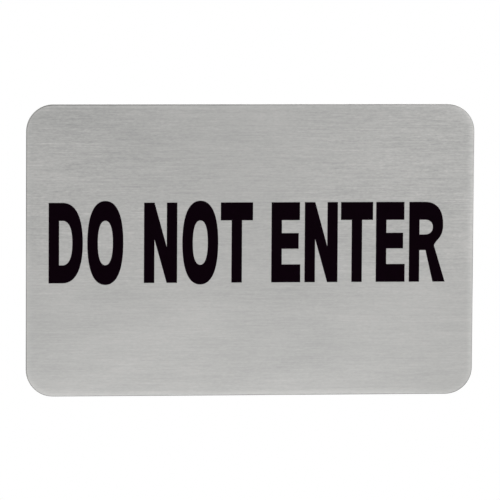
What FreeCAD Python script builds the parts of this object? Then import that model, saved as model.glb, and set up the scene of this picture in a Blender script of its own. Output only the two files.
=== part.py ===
import FreeCAD, Part
import os

# A self-adhesive sign plate for a door, in millimetres
# X runs along the plate, Z runs up it, and the front faces -Y.
# The origin is the middle of the plate's back face, where the tape sticks to it.

# Sheet blank
plate_width = 100.0
plate_height = 65.0
plate_thickness = 1.0
corner_radius = 6.0

# Edges of the blank: the press rolls the front edge over, and only the burr is taken off the back
front_edge_radius = 0.25
back_edge_break = 0.1

# Double-sided foam tape, one strip near the top of the back and one near the bottom
strip_width = 15.0
strip_thickness = 1.0
strip_corner_radius = 1.5
side_margin = 7.0
top_margin = 5.0


def rounded_sheet(width, height, radius, thickness):
    """Sheet lying flat on the origin, its four corners tangent arcs joined by straight sides."""
    upwards = FreeCAD.Vector(0, 0, 1)
    arc_x = width / 2 - radius
    arc_y = height / 2 - radius
    arcs = []
    for x, y, start in ((arc_x, arc_y, 0), (-arc_x, arc_y, 90), (-arc_x, -arc_y, 180), (arc_x, -arc_y, 270)):
        arcs.append(Part.makeCircle(radius, FreeCAD.Vector(x, y, 0), upwards, start, start + 90))
    outline = []
    for arc, next_arc in zip(arcs, arcs[1:] + arcs[:1]):
        outline.append(arc)
        outline.append(Part.makeLine(arc.lastVertex().Point, next_arc.firstVertex().Point))
    return Part.Face(Part.Wire(outline)).extrude(upwards * thickness)


def edges_at_height(solid, height):
    """Edges that lie wholly in the level plane at this height."""
    tolerance = 1e-6
    return [edge for edge in solid.Edges if all(abs(end.Z - height) < tolerance for end in edge.Vertexes)]


def make_plate():
    """The blank, face up on the bench."""
    plate = rounded_sheet(plate_width, plate_height, corner_radius, plate_thickness)
    plate = plate.makeFillet(front_edge_radius, edges_at_height(plate, plate_thickness))
    return plate.makeChamfer(back_edge_break, edges_at_height(plate, 0))


def make_strip(side):
    """One strip of tape under the plate, towards its top (side 1) or its bottom (side -1)."""
    strip = rounded_sheet(plate_width - 2 * side_margin, strip_width, strip_corner_radius, strip_thickness)
    from_middle = plate_height / 2 - top_margin - strip_width / 2
    strip.translate(FreeCAD.Vector(0, side * from_middle, -strip_thickness))
    return strip


def stand_up(piece):
    """Turn a piece from lying on its back to standing, front towards -Y."""
    piece.rotate(FreeCAD.Vector(0, 0, 0), FreeCAD.Vector(1, 0, 0), 90)
    return piece


pieces = {
    "sign_plate": make_plate(),
    "adhesive_strip_upper": make_strip(1),
    "adhesive_strip_lower": make_strip(-1),
}

os.makedirs("parts", exist_ok=True)
for name, piece in pieces.items():
    stand_up(piece).exportStep(f"parts/{name}.step")
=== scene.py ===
import bpy
import math
from mathutils import Matrix, Vector


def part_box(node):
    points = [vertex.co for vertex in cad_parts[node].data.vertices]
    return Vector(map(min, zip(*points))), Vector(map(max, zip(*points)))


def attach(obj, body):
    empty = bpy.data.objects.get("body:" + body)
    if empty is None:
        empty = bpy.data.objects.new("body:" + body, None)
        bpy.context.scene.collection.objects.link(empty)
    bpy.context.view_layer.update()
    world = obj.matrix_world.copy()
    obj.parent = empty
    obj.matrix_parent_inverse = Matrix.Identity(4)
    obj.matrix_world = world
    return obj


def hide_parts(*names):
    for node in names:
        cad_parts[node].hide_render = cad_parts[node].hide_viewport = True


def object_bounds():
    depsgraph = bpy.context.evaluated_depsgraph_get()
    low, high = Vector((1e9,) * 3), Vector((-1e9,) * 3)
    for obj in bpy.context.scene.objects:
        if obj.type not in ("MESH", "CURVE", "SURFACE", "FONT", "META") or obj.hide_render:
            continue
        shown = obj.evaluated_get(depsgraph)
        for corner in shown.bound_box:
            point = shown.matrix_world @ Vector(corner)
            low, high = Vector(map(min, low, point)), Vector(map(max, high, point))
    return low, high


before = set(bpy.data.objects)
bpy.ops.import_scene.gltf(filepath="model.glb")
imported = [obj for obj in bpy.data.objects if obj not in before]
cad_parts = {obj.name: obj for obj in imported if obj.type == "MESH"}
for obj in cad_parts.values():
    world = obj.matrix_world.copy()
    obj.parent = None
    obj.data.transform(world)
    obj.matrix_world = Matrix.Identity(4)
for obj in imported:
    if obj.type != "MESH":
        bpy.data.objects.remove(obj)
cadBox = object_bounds()
mm = 0.001
mergeWithin = 0.0005 * mm

plateLow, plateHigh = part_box("sign_plate")
frontY = plateLow.y  # the printed face
backY = plateHigh.y


# Small helpers

def linearColour(hexText):
    values = [int(hexText[i:i + 2], 16) / 255 for i in (1, 3, 5)]
    return tuple(v / 12.92 if v <= 0.04045 else ((v + 0.055) / 1.055) ** 2.4 for v in values) + (1.0,)


def newMaterial(name):
    material = bpy.data.materials.new(name)
    material.use_nodes = True
    material.node_tree.nodes.clear()
    return material


def addNode(tree, kind, inputs=None, **settings):
    # An input is a plain value, a colour as hex text, a socket to link from, or a node to link from
    node = tree.nodes.new("ShaderNode" + kind)
    for setting, value in settings.items():
        setattr(node, setting, value)
    for socket, value in (inputs or {}).items():
        if isinstance(value, bpy.types.Node):
            value = value.outputs[0]
        if isinstance(value, bpy.types.NodeSocket):
            tree.links.new(value, node.inputs[socket])
        else:
            node.inputs[socket].default_value = linearColour(value) if isinstance(value, str) else value
    return node


def layeredNoise(tree, place, layers, start):
    # Each layer is a length along the plate, a height up it, both in mm, and how much it shows.
    # The sum is centred on 0, so half is added where it mixes two colours. Every layer starts elsewhere,
    # so that no two draw the same marks.
    stepAcross, stepUp = 5.3, 3.7
    detail, roughness = 3.0, 0.55
    total = 0.0
    for number, (length, height, weight) in enumerate(layers):
        mapping = addNode(tree, "Mapping", {
            "Vector": place, "Location": (start + number * stepAcross, 0, start - number * stepUp),
            "Scale": (1 / (length * mm), 1 / (height * mm), 1 / (height * mm))})
        noise = addNode(tree, "TexNoise", {
            "Vector": mapping, "Scale": 1.0, "Detail": detail, "Roughness": roughness})
        centred = addNode(tree, "Math", {0: noise, 1: 0.5}, operation="SUBTRACT")
        total = addNode(tree, "Math", {0: centred, 1: weight, 2: total}, operation="MULTIPLY_ADD")
    return total


def deselectAll():
    for thing in bpy.context.selected_objects:
        thing.select_set(False)


def makeActive(piece):
    deselectAll()
    piece.select_set(True)
    bpy.context.view_layer.objects.active = piece


def applyPlace(piece):
    makeActive(piece)
    bpy.ops.object.transform_apply(location=True, rotation=True, scale=True)


def cleanMesh(piece):
    makeActive(piece)
    bpy.ops.object.mode_set(mode="EDIT")
    bpy.ops.mesh.select_all(action="SELECT")
    bpy.ops.mesh.remove_doubles(threshold=mergeWithin)
    bpy.ops.mesh.normals_make_consistent(inside=False)
    bpy.ops.object.mode_set(mode="OBJECT")


# Grade 304 stainless sheet, belt-brushed along the plate on its front, blanked by a press.
# The brushing spreads a light up and down into a soft column, and keeps it narrow from side to side.

steel = {
    "groove": "#848685",
    "ridge": "#C4C2C0",
    "roughness": 0.36,
    "anisotropy": 0.7,
    # Real grit lines are near 0.05 mm. These are as fine as that and show from near by, and the dashes are
    # as coarse as they need to be to show in the whole sign's picture.
    "grit": [(7.0, 0.06, 0.28), (24.0, 0.09, 0.20)],
    "gritStart": 0.0,
    "gritCut": 12.0,  # how strongly the grit lines cut up the dashes
    "dashes": [(0.7, 0.28, 0.48), (2.2, 0.28, 0.33), (6.0, 0.27, 0.33), (18.0, 0.3, 0.24)],
    "dashStart": 10.6,
    "lineDepth": 0.002,  # mm, for a line of full strength
    "hairlines": [(28.0, 0.07, 1.0)],
    "hairlineStart": 11.0,
    "hairlinePeaks": (0.1, 0.22),  # only the strongest of this noise is drawn
    "hairlineShare": 0.22,
    "smears": [(14.0, 1.3, 0.11), (20.0, 4.0, 0.16), (42.0, 24.0, 0.31)],
    "smearStart": 17.9,
    "smearRoughness": 0.3,
    # The lines are painted fainter where a highlight washes out the grain: towards the lower edge, and on the
    # upper half less near the middle than at the ends
    "faintBelow": -12.0,  # mm up the plate
    "strongAbove": 6.0,
    "faintest": 0.55,
    "softMiddle": -2.0,  # mm across the plate
    "softWidth": 36.0,
    "softShare": (0.22, 1.25),  # of the full strength: at that middle, and softWidth away from it
    # Towards its edge the front is drawn down a little by the press
    "cornerRadius": 6.0,
    "rollWidth": 1.6,
    "rollDepth": 0.04,
    "rollPower": 1.5,
    # A painted highlight: a slightly brighter line just inside the rounded edge
    "paintedEdgeHighlight": 0.07,
    "paintedEdgeHighlightColour": "#EDEDEA",
    "paintedEdgeHighlightWindow": (1.3, 0.4, 0.2, 0.05),  # mm in from the outline: starts, is full, is still full, ends
    # Rolled rim: its colour is painted shade and a painted darker reflection
    "rimDark": "#363634",
    "rimLight": "#A4A4A1",
    "rimShadePatches": [(0.16, 0.16, 0.4), (18.0, 18.0, 1.8)],
    "rimStart": 5.6,
    "rimLevel": 0.2,
    "endLift": 0.6,
    # Cut wall
    "burnishedDark": "#8E8E8B",
    "burnishedLight": "#BEBEBB",
    "burnishedDepth": 0.5,  # mm down from the front, where the punch slid before the sheet broke
    "tornDark": "#5C5C5A",
    "tornLight": "#8C8C89",
    "tornRoughness": 0.2,
    "ragged": 0.25,  # mm that the streaks move the break
    "breakBlur": 0.03,
    "streaks": [(1.8, 0.07, 0.8), (0.3, 0.12, 0.5)],  # length through the sheet, width along its edge
    "streakStart": 5.0,
    "streakDepth": 0.01,
    # Back
    "millDark": "#929290",
    "millLight": "#BABAB7",
    "millMarks": [(0.35, 0.2, 0.5), (5.0, 0.12, 0.5), (30.0, 0.5, 0.6)],
    "millStart": 7.0,
    # The Y of a face's normal at which the front's, the wall's and the back's finish start, and are full
    "facing": [(-0.78, -0.985), (-0.5, -0.15), (0.6, 0.9)],
}


def edgeReach(tree, place):
    # How far out a place is from the centre of its corner arc: the arc's own radius at the plate's outline
    radius = steel["cornerRadius"] * mm
    halfWidth, halfHeight = (plateHigh.x - plateLow.x) / 2, (plateHigh.z - plateLow.z) / 2
    arcCentre = (halfWidth - radius, 1.0, halfHeight - radius)  # a whole metre, so that Y never counts
    mirrored = addNode(tree, "VectorMath", {0: place}, operation="ABSOLUTE")
    past = addNode(tree, "VectorMath", {0: mirrored, 1: arcCentre}, operation="SUBTRACT")
    past = addNode(tree, "VectorMath", {0: past, 1: (0, 0, 0)}, operation="MAXIMUM")
    return addNode(tree, "VectorMath", {0: past}, operation="LENGTH").outputs["Value"]


def brushMarks(tree, place):
    # Each dash is a bundle of fine scratches, so it is cut up by the grit lines
    grit = layeredNoise(tree, place, steel["grit"], steel["gritStart"])
    dashes = layeredNoise(tree, place, steel["dashes"], steel["dashStart"])
    cut = addNode(tree, "Math", {0: grit, 1: steel["gritCut"], 2: 1.0}, operation="MULTIPLY_ADD")
    return addNode(tree, "Math", {0: dashes, 1: cut, 2: grit}, operation="MULTIPLY_ADD")


def brushLines(tree, place, across, up):
    # The belt's marks, with a few grits that cut deeper and leave a thin dark line of their own
    lines = brushMarks(tree, place)
    peakLow, peakHigh = steel["hairlinePeaks"]
    hairlines = addNode(tree, "MapRange", {
        "Value": layeredNoise(tree, place, steel["hairlines"], steel["hairlineStart"]),
        "From Min": peakLow, "From Max": peakHigh, "To Max": steel["hairlineShare"]})
    lines = addNode(tree, "Math", {0: lines, 1: hairlines}, operation="SUBTRACT")

    # Painted highlight: the lines fade where a highlight washes out the grain
    upper = addNode(tree, "MapRange", {
        "Value": up, "From Min": steel["faintBelow"] * mm, "From Max": steel["strongAbove"] * mm})
    aside = addNode(tree, "Math", {0: across, 1: steel["softMiddle"] * mm}, operation="SUBTRACT")
    aside = addNode(tree, "Math", {0: aside}, operation="ABSOLUTE")
    softest, strongest = steel["softShare"]
    grainNotWashed = addNode(tree, "MapRange", {
        "Value": aside, "From Max": steel["softWidth"] * mm, "To Min": softest, "To Max": strongest})
    grainNotWashed = addNode(tree, "Math", {0: grainNotWashed, 1: upper}, operation="MULTIPLY")
    strength = addNode(tree, "Math", {0: grainNotWashed, 1: 1 - steel["faintest"], 2: steel["faintest"]},
                       operation="MULTIPLY_ADD")
    return addNode(tree, "Math", {0: lines, 1: strength}, operation="MULTIPLY")


def frontColour(tree, lines, smears, reach):
    level = addNode(tree, "Math", {0: lines, 1: smears}, operation="ADD")
    level = addNode(tree, "Math", {0: level, 1: 0.5}, operation="ADD")
    colour = addNode(tree, "Mix", {0: level, 6: steel["groove"], 7: steel["ridge"]},
                     data_type="RGBA").outputs[2]
    # A painted highlight: a slightly brighter line just inside the rounded edge
    outline = steel["cornerRadius"]
    starts, full, stillFull, ends = [(outline - inwards) * mm for inwards in steel["paintedEdgeHighlightWindow"]]
    rises = addNode(tree, "MapRange", {"Value": reach, "From Min": starts, "From Max": full})
    falls = addNode(tree, "MapRange", {"Value": reach, "From Min": ends, "From Max": stillFull,
                    "To Max": steel["paintedEdgeHighlight"]})
    line = addNode(tree, "Math", {0: rises, 1: falls}, operation="MULTIPLY")
    return addNode(tree, "Mix", {0: line, 6: colour, 7: steel["paintedEdgeHighlightColour"]}, data_type="RGBA").outputs[2]


def rimPaintedShade(tree, place, endwise):
    # The rolled-over rim is painted darker, in patches, as painted shade and a painted darker reflection.
    # This painted shade is lighter at the plate's two ends than along its top and bottom edges.
    patches = layeredNoise(tree, place, steel["rimShadePatches"], steel["rimStart"])
    isEnd = addNode(tree, "Math", {0: endwise, 1: endwise}, operation="MULTIPLY")
    level = addNode(tree, "Math", {0: isEnd, 1: steel["endLift"], 2: patches}, operation="MULTIPLY_ADD")
    level = addNode(tree, "Math", {0: level, 1: steel["rimLevel"]}, operation="ADD")
    return addNode(tree, "Mix", {0: level, 6: steel["rimDark"], 7: steel["rimLight"]},
                   data_type="RGBA").outputs[2]


def wallColour(tree, streaks, broken):
    # The punch slides down the cut wall and burnishes it, then the sheet breaks off dull and rough
    level = addNode(tree, "Math", {0: streaks, 1: 0.5}, operation="ADD")
    burnished = addNode(tree, "Mix", {0: level, 6: steel["burnishedDark"], 7: steel["burnishedLight"]},
                        data_type="RGBA").outputs[2]
    torn = addNode(tree, "Mix", {0: level, 6: steel["tornDark"], 7: steel["tornLight"]},
                   data_type="RGBA").outputs[2]
    return addNode(tree, "Mix", {0: broken, 6: burnished, 7: torn}, data_type="RGBA").outputs[2]


def backColour(tree, place, smears):
    # The back keeps the mill's dull rolled finish, nearly even but for faint roll marks and specks
    marks = layeredNoise(tree, place, steel["millMarks"], steel["millStart"])
    level = addNode(tree, "Math", {0: smears, 1: marks}, operation="ADD")
    level = addNode(tree, "Math", {0: level, 1: 0.5}, operation="ADD")
    return addNode(tree, "Mix", {0: level, 6: steel["millDark"], 7: steel["millLight"]},
                   data_type="RGBA").outputs[2]


def brushedStainless():
    material = newMaterial("brushedStainless")
    tree = material.node_tree
    coordinates = addNode(tree, "TexCoord").outputs
    place = coordinates["Object"]
    across, outwards, up = addNode(tree, "SeparateXYZ", {0: place}).outputs
    facing = addNode(tree, "SeparateXYZ", {0: coordinates["Normal"]}).outputs
    isFront, isWall, isBack = [
        addNode(tree, "MapRange", {"Value": facing["Y"], "From Min": starts, "From Max": full})
        for starts, full in steel["facing"]]

    reach = edgeReach(tree, place)
    lines = brushLines(tree, place, across, up)
    smears = layeredNoise(tree, place, steel["smears"], steel["smearStart"])
    turned = addNode(tree, "Mapping", {"Vector": place, "Rotation": (0, 0, math.pi / 2)})
    streaks = layeredNoise(tree, turned, steel["streaks"], steel["streakStart"])
    ragged = addNode(tree, "Math", {0: streaks, 1: steel["ragged"] * mm, 2: outwards},
                     operation="MULTIPLY_ADD")
    breakLine = frontY + steel["burnishedDepth"] * mm
    breakBlur = steel["breakBlur"] * mm
    broken = addNode(tree, "MapRange", {
        "Value": ragged, "From Min": breakLine - breakBlur, "From Max": breakLine + breakBlur})

    colour = addNode(tree, "Mix", {0: isFront, 6: rimPaintedShade(tree, place, facing["X"]),
                     7: frontColour(tree, lines, smears, reach)}, data_type="RGBA").outputs[2]
    colour = addNode(tree, "Mix", {0: isWall, 6: colour, 7: wallColour(tree, streaks, broken)},
                     data_type="RGBA").outputs[2]
    colour = addNode(tree, "Mix", {0: isBack, 6: colour, 7: backColour(tree, place, smears)},
                     data_type="RGBA").outputs[2]
    rough = addNode(tree, "Math", {0: smears, 1: steel["smearRoughness"], 2: steel["roughness"]},
                    operation="MULTIPLY_ADD")
    torn = addNode(tree, "Math", {0: isWall, 1: broken}, operation="MULTIPLY")
    rough = addNode(tree, "Math", {0: torn, 1: steel["tornRoughness"], 2: rough}, operation="MULTIPLY_ADD")

    outline = steel["cornerRadius"] * mm
    roll = addNode(tree, "MapRange", {
        "Value": reach, "From Min": outline - steel["rollWidth"] * mm, "From Max": outline})
    roll = addNode(tree, "Math", {0: roll, 1: steel["rollPower"]}, operation="POWER")
    height = addNode(tree, "Math", {0: lines, 1: steel["lineDepth"]}, operation="MULTIPLY")
    height = addNode(tree, "Math", {0: roll, 1: -steel["rollDepth"], 2: height}, operation="MULTIPLY_ADD")
    height = addNode(tree, "Math", {0: height, 1: isFront}, operation="MULTIPLY")
    wallStreaks = addNode(tree, "Math", {0: isWall, 1: streaks}, operation="MULTIPLY")
    height = addNode(tree, "Math", {0: wallStreaks, 1: steel["streakDepth"], 2: height},
                     operation="MULTIPLY_ADD")
    bump = addNode(tree, "Bump", {"Height": height, "Strength": 1.0, "Distance": 1.0 * mm})
    shader = addNode(tree, "BsdfPrincipled", {
        "Base Color": colour, "Metallic": 1.0, "Roughness": rough, "Anisotropic": steel["anisotropy"],
        "Normal": bump, "Tangent": addNode(tree, "Tangent", direction_type="RADIAL", axis="X")})
    addNode(tree, "OutputMaterial", {"Surface": shader})
    return material


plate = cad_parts["sign_plate"]
for materialSlot in plate.material_slots:
    materialSlot.material = brushedStainless()
print("plate finished")


# Legend: one row of screen-printed capitals, generic words in letters drawn for this sign

legend = {
    "words": "DO NOT ENTER",
    "rowMiddle": (-0.7, 1.75),  # mm across and up from the plate's middle
    "capHeight": 17.9,
    "overshoot": 0.4,  # round letters pass the straight ones by this much, above and below
    "bar": 4.0,  # level strokes are this heavy
    "stem": 2.33,  # upright strokes
    "wordSpace": 3.45,
    "fullness": 0.65,  # how square the round strokes are, where a circle has 0.55
    "curveSteps": 16,
    "inkThickness": 0.04,
    "inkDark": "#060004",
    "inkLight": "#0B0109",
    "roughness": 0.42,
    "specular": 0.012,
    "mottle": [(1.6, 1.2, 1.0)],
    "mottleStart": 4.0,
    "mottleRoughness": 0.2,
    "ribDepth": 0.001,
}

capHeight, overshoot, bar, stem = [legend[size] * mm for size in ("capHeight", "overshoot", "bar", "stem")]
inkThickness = legend["inkThickness"] * mm


def corners(*places):
    return [(x, z, None) for x, z in places]


def oval(left, right, low, high):
    middleX, middleZ = (left + right) / 2, (low + high) / 2
    return [(left, middleZ, "upright"), (middleX, high, "level"),
            (right, middleZ, "upright"), (middleX, low, "level")]


# Each outline is (across, up, way) from the left end of the baseline, the outer one first and any hole after.
# The way is None at a corner, and at a round stretch says how the stroke passes the point.

def letterD():
    width = 7.6 * mm
    straight = 3.1 * mm
    outer = corners((0, 0), (0, capHeight))
    outer += [(straight, capHeight, "level"), (width, capHeight / 2, "upright"), (straight, 0, "level")]
    hole = corners((stem, bar), (stem, capHeight - bar))
    hole += [(straight, capHeight - bar, "level"), (width - stem, capHeight / 2, "upright"),
             (straight, bar, "level")]
    return width, [outer, hole]


def letterE():
    width = 6.5 * mm
    topArm, middleArm = width - 0.15 * mm, width - 0.4 * mm
    middleLow, middleHigh = 7.5 * mm, 11.0 * mm
    outer = corners((0, 0), (0, capHeight), (topArm, capHeight), (topArm, capHeight - bar),
                    (stem, capHeight - bar), (stem, middleHigh), (middleArm, middleHigh),
                    (middleArm, middleLow), (stem, middleLow), (stem, bar), (width, bar), (width, 0))
    return width, [outer]


def letterN():
    width = 7.4 * mm
    inner = width - stem
    slantTop, slantFoot = 8.0 * mm, 9.7 * mm  # where the slant meets the right stem above and the left below
    outer = corners((0, 0), (0, capHeight), (stem, capHeight), (inner, slantTop), (inner, capHeight),
                    (width, capHeight), (width, 0), (inner, 0), (stem, slantFoot), (stem, 0))
    return width, [outer]


def letterO():
    width = 8.0 * mm
    outer = oval(0, width, -overshoot, capHeight + overshoot)
    hole = oval(stem, width - stem, bar, capHeight - bar)
    return width, [outer, hole]


def letterR():
    width = 8.1 * mm
    straight, bowl = 3.5 * mm, width - 0.45 * mm
    bowlMiddle, waist = 12.8 * mm, 7.1 * mm
    outer = corners((0, 0), (0, capHeight))
    outer += [(straight, capHeight, "level"), (bowl, bowlMiddle, "upright")]
    outer += corners((5.6 * mm, 8.2 * mm), (width, 0), (width - 2.75 * mm, 0),
                     (3.7 * mm, waist), (stem, waist), (stem, 0))
    holeStraight = 3.4 * mm
    holeLow = waist + 0.87 * bar
    hole = corners((stem, holeLow), (stem, capHeight - bar))
    hole += [(holeStraight, capHeight - bar, "level"),
             (bowl - stem, (holeLow + capHeight - bar) / 2, "upright"), (holeStraight, holeLow, "level")]
    return width, [outer, hole]


def letterT():
    width = 7.2 * mm
    left, right = (width - stem) / 2, (width + stem) / 2
    outer = corners((0, capHeight), (width, capHeight), (width, capHeight - bar), (right, capHeight - bar),
                    (right, 0), (left, 0), (left, capHeight - bar), (0, capHeight - bar))
    return width, [outer]


# The drawing of each letter, and the room that it needs on its left and on its right
letters = {
    "D": (letterD, 0.65 * mm, 0.5 * mm),
    "E": (letterE, 0.65 * mm, 0.3 * mm),
    "N": (letterN, 0.65 * mm, 0.65 * mm),
    "O": (letterO, 0.5 * mm, 0.5 * mm),
    "R": (letterR, 0.65 * mm, 0.1 * mm),
    "T": (letterT, 0.05 * mm, 0.05 * mm),
}


def handleTowards(point, neighbour):
    x, z, way = point
    if way == "level":
        return (x + legend["fullness"] * (neighbour[0] - x), z, 0)
    return (x, z + legend["fullness"] * (neighbour[1] - z), 0)


def drawLetter(letter):
    width, outlines = letters[letter][0]()
    curve = bpy.data.curves.new("letter" + letter, "CURVE")
    curve.dimensions = "2D"
    curve.fill_mode = "BOTH"
    curve.extrude = inkThickness / 2
    curve.resolution_u = legend["curveSteps"]
    for outline in outlines:
        spline = curve.splines.new("BEZIER")
        spline.bezier_points.add(len(outline) - 1)
        spline.use_cyclic_u = True
        for number, point in enumerate(outline):
            knot = spline.bezier_points[number]
            knot.co = (point[0], point[1], 0)
            if point[2] is None:
                knot.handle_left_type = knot.handle_right_type = "VECTOR"
            else:
                knot.handle_left_type = knot.handle_right_type = "FREE"
                knot.handle_left = handleTowards(point, outline[number - 1])
                knot.handle_right = handleTowards(point, outline[(number + 1) % len(outline)])
    drawn = bpy.data.objects.new("letter" + letter, curve)
    bpy.context.scene.collection.objects.link(drawn)
    makeActive(drawn)
    bpy.ops.object.convert(target="MESH")
    drawn = bpy.context.object
    cleanMesh(drawn)
    return drawn, width


def printInk():
    # Solvent screen-print ink, satin. It lies thin enough for the brushing to show through as faint ribs.
    # Its specular is far under a real ink's, because here every reflection shows white, not a dark room.
    material = newMaterial("screenPrintInk")
    tree = material.node_tree
    place = addNode(tree, "TexCoord").outputs["Object"]
    ribs = brushMarks(tree, place)
    mottle = layeredNoise(tree, place, legend["mottle"], legend["mottleStart"])
    level = addNode(tree, "Math", {0: mottle, 1: 0.5}, operation="ADD", use_clamp=True)
    colour = addNode(tree, "Mix", {0: level, 6: legend["inkDark"], 7: legend["inkLight"]},
                     data_type="RGBA").outputs[2]
    rough = addNode(tree, "Math", {0: mottle, 1: legend["mottleRoughness"], 2: legend["roughness"]},
                    operation="MULTIPLY_ADD")
    bump = addNode(tree, "Bump", {"Height": ribs, "Strength": 1.0, "Distance": legend["ribDepth"] * mm})
    shader = addNode(tree, "BsdfPrincipled", {
        "Base Color": colour, "Roughness": rough, "Specular IOR Level": legend["specular"], "Normal": bump})
    addNode(tree, "OutputMaterial", {"Surface": shader})
    return material


def printLegend():
    ink = printInk()
    patterns = {letter: drawLetter(letter) for letter in letters}
    places = []
    pen = 0.0
    for letter in legend["words"]:
        if letter == " ":
            pen += legend["wordSpace"] * mm
            continue
        roomLeft, roomRight = letters[letter][1:]
        places.append((letter, pen + roomLeft))
        pen = places[-1][1] + patterns[letter][1] + roomRight
    rowStart = places[0][1]
    rowEnd = places[-1][1] + patterns[places[-1][0]][1]
    print("legend is", round((rowEnd - rowStart) / mm, 2), "mm wide")
    middleX, middleZ = [side * mm for side in legend["rowMiddle"]]
    for number, (letter, start) in enumerate(places):
        pattern = patterns[letter][0]
        piece = pattern.copy()
        piece.data = pattern.data.copy()
        piece.name = "printedLetter%02d" % (number + 1)
        bpy.context.scene.collection.objects.link(piece)
        piece.rotation_euler = (math.pi / 2, 0, 0)
        piece.location = (middleX - (rowStart + rowEnd) / 2 + start, frontY - inkThickness / 2,
                          middleZ - capHeight / 2)
        applyPlace(piece)
        piece.data.materials.append(ink)
        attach(piece, "root")
    for letter in letters:
        bpy.data.objects.remove(patterns[letter][0])


printLegend()
print("legend printed")


# Double-sided foam tape on the back, in place of the plain strips

tape = {
    "cornerRadius": 1.5,
    "cornerSegments": 10,
    "smoothBelow": 40.0,  # degrees between faces
    # Side profile from the plate outwards: share of the tape's thickness, and mm that the cut side stands in
    "profile": [(0.0, 0.0), (0.06, 0.0), (0.11, 0.05), (0.28, 0.16), (0.5, 0.2), (0.72, 0.16),
                (0.89, 0.05), (0.94, 0.0), (1.0, 0.0)],
    "foam": "#F4F2EA",
    "cellWall": "#DCD8CC",
    "foamRoughness": 0.85,
    "cell": 0.28,  # mm across one cell of the foam
    "gluePale": "#F3F0E6",
    "glueDeep": "#DAD5C4",
    "glueLevel": 0.9,
    "glueRoughness": 0.3,
    "glueIor": 1.47,
    "coat": [(16.0, 0.5, 0.16), (1.4, 0.9, 0.14)],
    "coatStart": 2.0,
    "cellsThroughCoat": 0.6,
    "bubble": "#FAF9F4",
    "bubbleSpacing": 1.7,  # mm
    "bubbleEdge": (0.11, 0.07),  # share of the spacing: outside the bubble, and inside it
    "bubbleShare": 0.35,
    "bumpHeight": 0.06,
    "bumpStrength": 0.6,
    "facingFilm": (0.8, 0.95),  # the Y of the normal at which the film starts, and at which it is full
}


def foamTapeMaterial():
    # White closed-cell polyethylene foam, die-cut, with a clear acrylic adhesive film on both faces.
    # The cut side is matt with small open cells. The face is tacky, slightly yellow and glossy, with the
    # cells showing softly through the film, faint coating streaks and a few trapped air bubbles.
    material = newMaterial("foamTape")
    tree = material.node_tree
    place = addNode(tree, "TexCoord").outputs["Object"]
    normal = addNode(tree, "NewGeometry").outputs["Normal"]
    facing = addNode(tree, "SeparateXYZ", {0: normal}).outputs["Y"]
    starts, full = tape["facingFilm"]
    film = addNode(tree, "MapRange", {"Value": facing, "From Min": starts, "From Max": full})
    cells = addNode(tree, "TexVoronoi", {"Vector": place, "Scale": 1 / (tape["cell"] * mm)},
                    feature="SMOOTH_F1")
    foam = addNode(tree, "Mix", {0: cells, 6: tape["foam"], 7: tape["cellWall"]}, data_type="RGBA").outputs[2]

    coat = layeredNoise(tree, place, tape["coat"], tape["coatStart"])
    coat = addNode(tree, "Math", {0: cells, 1: -tape["cellsThroughCoat"], 2: coat}, operation="MULTIPLY_ADD")
    bubbles = addNode(tree, "TexVoronoi", {"Vector": place, "Scale": 1 / (tape["bubbleSpacing"] * mm)})
    outside, inside = tape["bubbleEdge"]
    bubble = addNode(tree, "MapRange", {"Value": bubbles, "From Min": outside, "From Max": inside})
    chosen = addNode(tree, "Math", {0: bubbles.outputs["Color"], 1: 1 - tape["bubbleShare"]},
                     operation="GREATER_THAN")
    bubble = addNode(tree, "Math", {0: bubble, 1: chosen}, operation="MULTIPLY")
    level = addNode(tree, "Math", {0: coat, 1: tape["glueLevel"]}, operation="ADD", use_clamp=True)
    glue = addNode(tree, "Mix", {0: level, 6: tape["glueDeep"], 7: tape["gluePale"]},
                   data_type="RGBA").outputs[2]
    glue = addNode(tree, "Mix", {0: bubble, 6: glue, 7: tape["bubble"]}, data_type="RGBA").outputs[2]

    colour = addNode(tree, "Mix", {0: film, 6: foam, 7: glue}, data_type="RGBA").outputs[2]
    rough = addNode(tree, "MapRange", {
        "Value": film, "To Min": tape["foamRoughness"], "To Max": tape["glueRoughness"]})
    cutHeight = addNode(tree, "Math", {0: cells, 1: -1.0}, operation="MULTIPLY")
    faceHeight = addNode(tree, "Math", {0: coat, 1: bubble}, operation="ADD")
    height = addNode(tree, "Mix", {0: film, 2: cutHeight, 3: faceHeight})
    bump = addNode(tree, "Bump", {
        "Height": height, "Strength": tape["bumpStrength"], "Distance": tape["bumpHeight"] * mm})
    shader = addNode(tree, "BsdfPrincipled", {
        "Base Color": colour, "Roughness": rough, "IOR": tape["glueIor"], "Normal": bump})
    addNode(tree, "OutputMaterial", {"Surface": shader})
    return material


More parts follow.
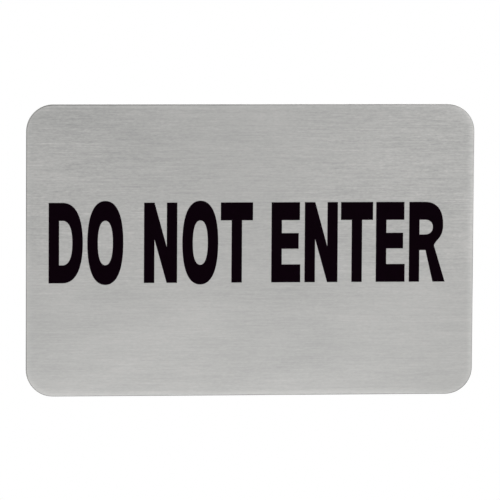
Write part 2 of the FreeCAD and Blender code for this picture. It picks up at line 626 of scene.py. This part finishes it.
def foamTape(name, node, material):
    low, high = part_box(node)
    middle = (low + high) / 2
    size = high - low
    deselectAll()
    bpy.ops.mesh.primitive_plane_add(size=1.0, location=(middle.x, low.y, middle.z),
                                     rotation=(-math.pi / 2, 0, 0))
    strip = bpy.context.object
    strip.name = name
    strip.scale = (size.x, size.z, 1.0)
    applyPlace(strip)
    bpy.ops.object.mode_set(mode="EDIT")
    bpy.ops.mesh.select_all(action="SELECT")
    bpy.ops.mesh.bevel(offset=tape["cornerRadius"] * mm, segments=tape["cornerSegments"], affect="VERTICES")
    for (share, inset), (nextShare, nextInset) in zip(tape["profile"], tape["profile"][1:]):
        outwards = (0, (nextShare - share) * size.y, 0)
        bpy.ops.mesh.extrude_region_move(TRANSFORM_OT_translate={"value": outwards})
        shrinkX, shrinkZ = [(side - 2 * nextInset * mm) / (side - 2 * inset * mm)
                            for side in (size.x, size.z)]
        bpy.ops.transform.resize(value=(shrinkX, 1.0, shrinkZ),
                                 center_override=(middle.x, low.y + nextShare * size.y, middle.z))
    bpy.ops.object.mode_set(mode="OBJECT")
    cleanMesh(strip)
    bpy.ops.object.shade_smooth_by_angle(angle=math.radians(tape["smoothBelow"]))
    strip.data.materials.append(material)
    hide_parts(node)
    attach(strip, "root")


tapeMaterial = foamTapeMaterial()
foamTape("foamTapeUpper", "adhesive_strip_upper", tapeMaterial)
foamTape("foamTapeLower", "adhesive_strip_lower", tapeMaterial)
print("tape stuck on")


# Studio

studio = {
    "lens": 350.0,
    "distance": 1.0815,
    "azimuth": -6.0,  # to the reader's left of the plate's middle
    "elevation": 5.55,
    "roll": 0.35,
    "aim": (-0.16, 0.06),  # mm across and up from the plate's middle
    "clip": (0.05, 20.0),
    "worldFill": 0.6,
    "floorSize": 12.0,
    "floorDrop": 0.11,
    "floorPaint": "#E7E7E7",
    "floorNear": 0.1,  # metres from the middle: up to here the floor glows least
    "floorFar": 0.28,  # from here on it is as white as the background
    "floorNearGlow": 0.75,  # the rest is its own shading
    # Name, place, what it points at, width, height, all in metres, and watts
    "lamps": [
        ("lowLamp", (-0.035, -0.13, -0.10), (-0.025, frontY, -0.02), 0.20, 0.04, 0.056),
        ("rightLamp", (0.57, -0.7, 0.05), (0, frontY, 0), 0.8, 0.8, 2.4),
        ("topLamp", (0, 0.3, 1.0), (0, 0, 0), 1.0, 1.0, 1.0),
        ("backLamp", (0.3, 0.8, 0.5), (0, backY, 0), 0.7, 0.7, 3.0),
    ],
}

white = "#FFFFFF"


def makeCamera():
    data = bpy.data.cameras.new("camera")
    data.lens = studio["lens"]
    data.clip_start, data.clip_end = studio["clip"]
    camera = bpy.data.objects.new("camera", data)
    bpy.context.scene.collection.objects.link(camera)
    around, upwards = math.radians(studio["azimuth"]), math.radians(studio["elevation"])
    away = Vector((math.sin(around) * math.cos(upwards), -math.cos(around) * math.cos(upwards),
                   math.sin(upwards)))
    aim = Vector((studio["aim"][0] * mm, frontY, studio["aim"][1] * mm))
    roll = Matrix.Rotation(math.radians(studio["roll"]), 3, "Z").to_quaternion()
    camera.location = aim + away * studio["distance"]
    camera.rotation_mode = "QUATERNION"
    camera.rotation_quaternion = (-away).to_track_quat("-Z", "Y") @ roll
    bpy.context.scene.camera = camera


def hangLamp(name, place, aim, width, height, watts):
    data = bpy.data.lights.new(name, "AREA")
    data.shape = "RECTANGLE"
    data.size = width
    data.size_y = height
    data.energy = watts
    lamp = bpy.data.objects.new(name, data)
    bpy.context.scene.collection.objects.link(lamp)
    lamp.visible_camera = False
    lamp.location = place
    lamp.rotation_mode = "QUATERNION"
    lamp.rotation_quaternion = (Vector(aim) - Vector(place)).to_track_quat("-Z", "Y")


def seenAsWhite(tree):
    rays = addNode(tree, "LightPath").outputs
    straight = addNode(tree, "Math", {0: rays["Is Camera Ray"], 1: rays["Is Glossy Ray"]},
                       operation="MAXIMUM")
    return addNode(tree, "Math", {0: straight, 1: rays["Is Transmission Ray"]}, operation="MAXIMUM")


def makeWorld():
    world = bpy.data.worlds.new("studio")
    bpy.context.scene.world = world
    world.use_nodes = True
    tree = world.node_tree
    tree.nodes.clear()
    strength = addNode(tree, "MapRange", {"Value": seenAsWhite(tree), "To Min": studio["worldFill"]})
    background = addNode(tree, "Background", {"Color": white, "Strength": strength})
    addNode(tree, "OutputWorld", {"Surface": background})


def makeFloor():
    # White-painted board, so far below the sign that its shadow there is very faint. Near the sign the board
    # keeps some of its own shading, and further off it runs into the background.
    deselectAll()
    bpy.ops.mesh.primitive_plane_add(size=studio["floorSize"],
                                     location=(0, 0, cadBox[0].z - studio["floorDrop"]))
    floor = bpy.context.object
    floor.name = "floor"
    material = newMaterial("paintedFloor")
    tree = material.node_tree
    place = addNode(tree, "TexCoord").outputs["Object"]
    away = addNode(tree, "VectorMath", {0: place}, operation="LENGTH").outputs["Value"]
    glowShare = addNode(tree, "MapRange", {
        "Value": away, "From Min": studio["floorNear"], "From Max": studio["floorFar"],
        "To Min": studio["floorNearGlow"], "To Max": 1.0})
    share = addNode(tree, "Math", {0: seenAsWhite(tree), 1: glowShare}, operation="MULTIPLY")
    paint = addNode(tree, "BsdfDiffuse", {"Color": studio["floorPaint"]})
    glow = addNode(tree, "Emission", {"Color": white, "Strength": 1.0})
    mixed = addNode(tree, "MixShader", {0: share, 1: paint, 2: glow})
    addNode(tree, "OutputMaterial", {"Surface": mixed})
    floor.data.materials.append(material)


makeCamera()
makeWorld()
makeFloor()
for lamp in studio["lamps"]:
    hangLamp(*lamp)
bpy.context.scene.view_settings.view_transform = "Standard"
print("studio set")
